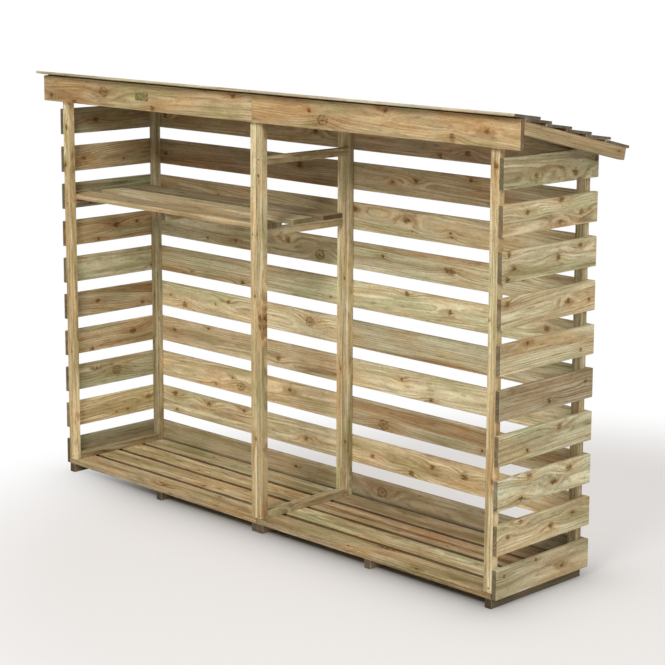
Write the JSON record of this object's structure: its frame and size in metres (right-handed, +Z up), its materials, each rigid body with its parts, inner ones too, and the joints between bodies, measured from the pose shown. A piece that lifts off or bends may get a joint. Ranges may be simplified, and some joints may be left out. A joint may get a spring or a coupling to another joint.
{
  "type": "log store",
  "caption": "Open-fronted double log store in treated softwood, with slatted sides and back, a half shelf and a lapped board roof falling to the rear.",
  "frame": {"origin": "on the ground, under the middle of the roof's outline", "axes": "+X along the length, +Y to the slatted back, so the open front faces -Y, +Z up"},
  "size_m": [2.428, 0.5866, 1.6126],
  "materials": {
    "treated_boards": "matt",
    "treated_posts": "matt",
    "roof_boards": "matt"
  },
  "bodies": {
    "root": {"bearer_left_end": "treated_posts", "bearer_left_middle": "treated_posts", "bearer_left_inner": "treated_posts", "bearer_right_inner": "treated_posts", "bearer_right_middle": "treated_posts", "bearer_right_end": "treated_posts", "deck_left": "treated_boards", "deck_right": "treated_boards", "front_post_left": "treated_posts", "front_post_left_inner": "treated_posts", "front_post_right_inner": "treated_posts", "front_post_right": "treated_posts", "back_post_left": "treated_posts", "back_post_left_inner": "treated_posts", "back_post_right_inner": "treated_posts", "back_post_right": "treated_posts", "bottom_rail_left": "treated_posts", "bottom_rail_centre": "treated_posts", "bottom_rail_right": "treated_posts", "top_rail_centre": "treated_posts", "shelf_rail_left": "treated_posts", "shelf_rail_centre": "treated_posts", "shelf_batten": "treated_posts", "shelf_board_front": "treated_boards", "shelf_board_middle": "treated_boards", "shelf_board_back": "treated_boards", "side_slats_left": "treated_boards", "side_slats_right": "treated_boards", "back_slats_left": "treated_boards", "back_slats_right": "treated_boards", "fascia_left": "treated_boards", "fascia_right": "treated_boards", "barge_rafter_left": "treated_posts", "barge_rafter_right": "treated_posts", "side_rafter_left": "treated_posts", "side_rafter_right": "treated_posts", "centre_rafter_left": "treated_posts", "centre_rafter_right": "treated_posts", "roof_course_1": "roof_boards", "roof_course_2": "roof_boards", "roof_course_3": "roof_boards", "roof_course_4": "roof_boards", "roof_course_5": "roof_boards", "roof_course_6": "roof_boards"}
  },
  "joints": []
}
